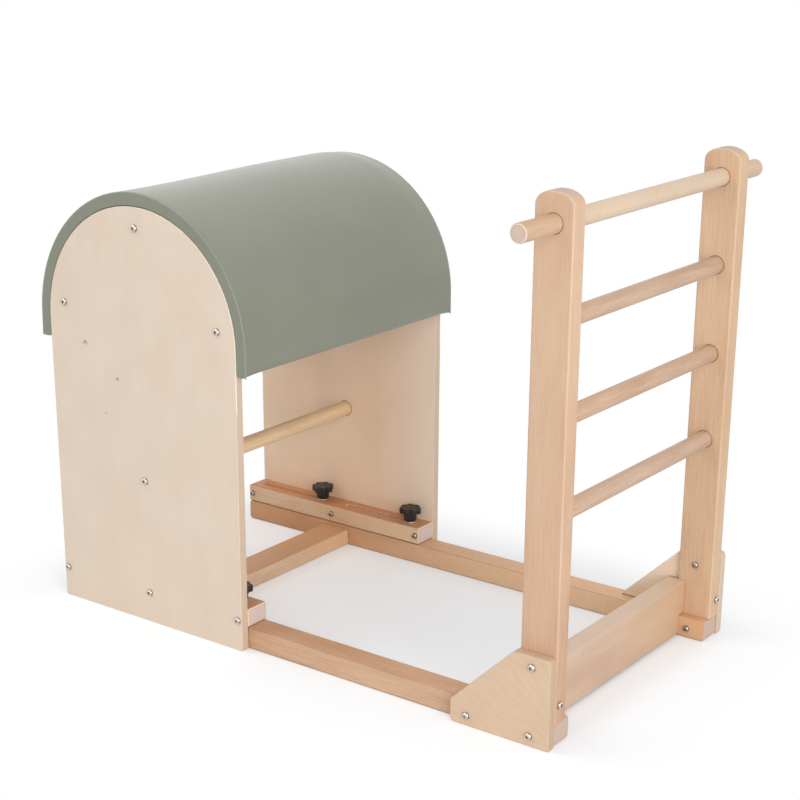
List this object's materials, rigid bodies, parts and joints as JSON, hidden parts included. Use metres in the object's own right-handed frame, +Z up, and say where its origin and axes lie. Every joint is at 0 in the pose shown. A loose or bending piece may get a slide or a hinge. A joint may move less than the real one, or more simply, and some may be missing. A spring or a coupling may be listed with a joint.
{
  "type": "pilates ladder barrel",
  "caption": "Padded arched barrel on plywood sides that slides on a beech base towards an upright rung ladder, held by knobs in slotted cleats.",
  "frame": {"origin": "on the floor, under the middle of the whole part in length and width", "axes": "+Z up, +X from the barrel towards the ladder along the base rails, near side at -Y"},
  "size_m": [1.1892, 0.802, 0.94],
  "materials": {
    "birch": "clear satin lacquer over pale rotary-cut birch",
    "bent_ply": "unfinished bent plywood",
    "beech": "clear satin lacquer over steamed beech",
    "raw_beech": "plain sawn and planed beech",
    "vinyl": "sage green upholstery vinyl over foam, soft sheen",
    "plastic": "black moulded plastic, fine satin grain",
    "nickel": "bright nickel plate",
    "steel": "plain zinc-plated steel"
  },
  "bodies": {
    "base": {"cross_rail": "beech", "kick_board": "beech", "ladder_rung_1": "beech", "ladder_rung_2": "beech", "ladder_rung_3": "beech", "ladder_rung_4": "beech", "base_rail_near": "beech", "ladder_upright_near": "beech", "gusset_plate_near": "birch", "gusset_block_near": "beech", "gusset_bolt_near_toe": "nickel", "gusset_bolt_near_heel": "nickel", "gusset_bolt_near_crest": "nickel", "upright_bolt_near": "nickel", "rail_insert_near_front": "steel", "rail_insert_near_rear": "steel", "base_rail_far": "beech", "ladder_upright_far": "beech", "gusset_plate_far": "birch", "gusset_block_far": "beech", "gusset_bolt_far_toe": "nickel", "gusset_bolt_far_heel": "nickel", "gusset_bolt_far_crest": "nickel", "upright_bolt_far": "nickel", "rail_insert_far_front": "steel", "rail_insert_far_rear": "steel"},
    "barrel": {"barrel_shell": "bent_ply", "barrel_pad": "vinyl", "crossbar": "beech", "shell_batten_rear": "raw_beech", "shell_batten_top": "raw_beech", "shell_batten_front": "raw_beech", "side_panel_near": "birch", "slotted_cleat_near": "beech", "arch_bolt_near_rear": "nickel", "arch_bolt_near_top": "nickel", "arch_bolt_near_front": "nickel", "crossbar_bolt_near": "nickel", "cleat_bolt_near_rear": "nickel", "cleat_bolt_near_middle": "nickel", "cleat_bolt_near_front": "nickel", "side_panel_far": "birch", "slotted_cleat_far": "beech", "arch_bolt_far_rear": "nickel", "arch_bolt_far_top": "nickel", "arch_bolt_far_front": "nickel", "crossbar_bolt_far": "nickel", "cleat_bolt_far_rear": "nickel", "cleat_bolt_far_middle": "nickel", "cleat_bolt_far_front": "nickel"},
    "washer_near_front": {"knob_washer_near_front": "nickel"},
    "knob_near_front": {"knob_near_front": "plastic"},
    "washer_near_rear": {"knob_washer_near_rear": "nickel"},
    "knob_near_rear": {"knob_near_rear": "plastic"},
    "washer_far_front": {"knob_washer_far_front": "nickel"},
    "knob_far_front": {"knob_far_front": "plastic"},
    "washer_far_rear": {"knob_washer_far_rear": "nickel"},
    "knob_far_rear": {"knob_far_rear": "plastic"}
  },
  "joints": [
    {"name": "barrel_slide", "type": "slide", "parent": "base", "child": "barrel", "axis": [1, 0, 0], "range_m": [0, 0.168]},
    {"name": "knob_lift_near_front", "type": "slide", "parent": "base", "child": "washer_near_front", "axis": [0, 0, 1], "range_m": [0, 0.00225]},
    {"name": "knob_turn_near_front", "type": "hinge", "parent": "washer_near_front", "child": "knob_near_front", "pos_m": [-0.13065, -0.27535, 0.0826], "axis": [0, 0, 1], "range_deg": [0, 541]},
    {"name": "knob_lift_near_rear", "type": "slide", "parent": "base", "child": "washer_near_rear", "axis": [0, 0, 1], "range_m": [0, 0.00225]},
    {"name": "knob_turn_near_rear", "type": "hinge", "parent": "washer_near_rear", "child": "knob_near_rear", "pos_m": [-0.37165, -0.27535, 0.0826], "axis": [0, 0, 1], "range_deg": [0, 541]},
    {"name": "knob_lift_far_front", "type": "slide", "parent": "base", "child": "washer_far_front", "axis": [0, 0, 1], "range_m": [0, 0.00225]},
    {"name": "knob_turn_far_front", "type": "hinge", "parent": "washer_far_front", "child": "knob_far_front", "pos_m": [-0.13065, 0.27535, 0.0826], "axis": [0, 0, 1], "range_deg": [0, 541]},
    {"name": "knob_lift_far_rear", "type": "slide", "parent": "base", "child": "washer_far_rear", "axis": [0, 0, 1], "range_m": [0, 0.00225]},
    {"name": "knob_turn_far_rear", "type": "hinge", "parent": "washer_far_rear", "child": "knob_far_rear", "pos_m": [-0.37165, 0.27535, 0.0826], "axis": [0, 0, 1], "range_deg": [0, 541]}
  ],
  "couplings": [
    {"joint": "knob_turn_near_front", "follows": "knob_lift_near_front", "rad_per_m": 4188.8},
    {"joint": "knob_turn_near_rear", "follows": "knob_lift_near_rear", "rad_per_m": 4188.8},
    {"joint": "knob_turn_far_front", "follows": "knob_lift_far_front", "rad_per_m": 4188.8},
    {"joint": "knob_turn_far_rear", "follows": "knob_lift_far_rear", "rad_per_m": 4188.8}
  ]
}
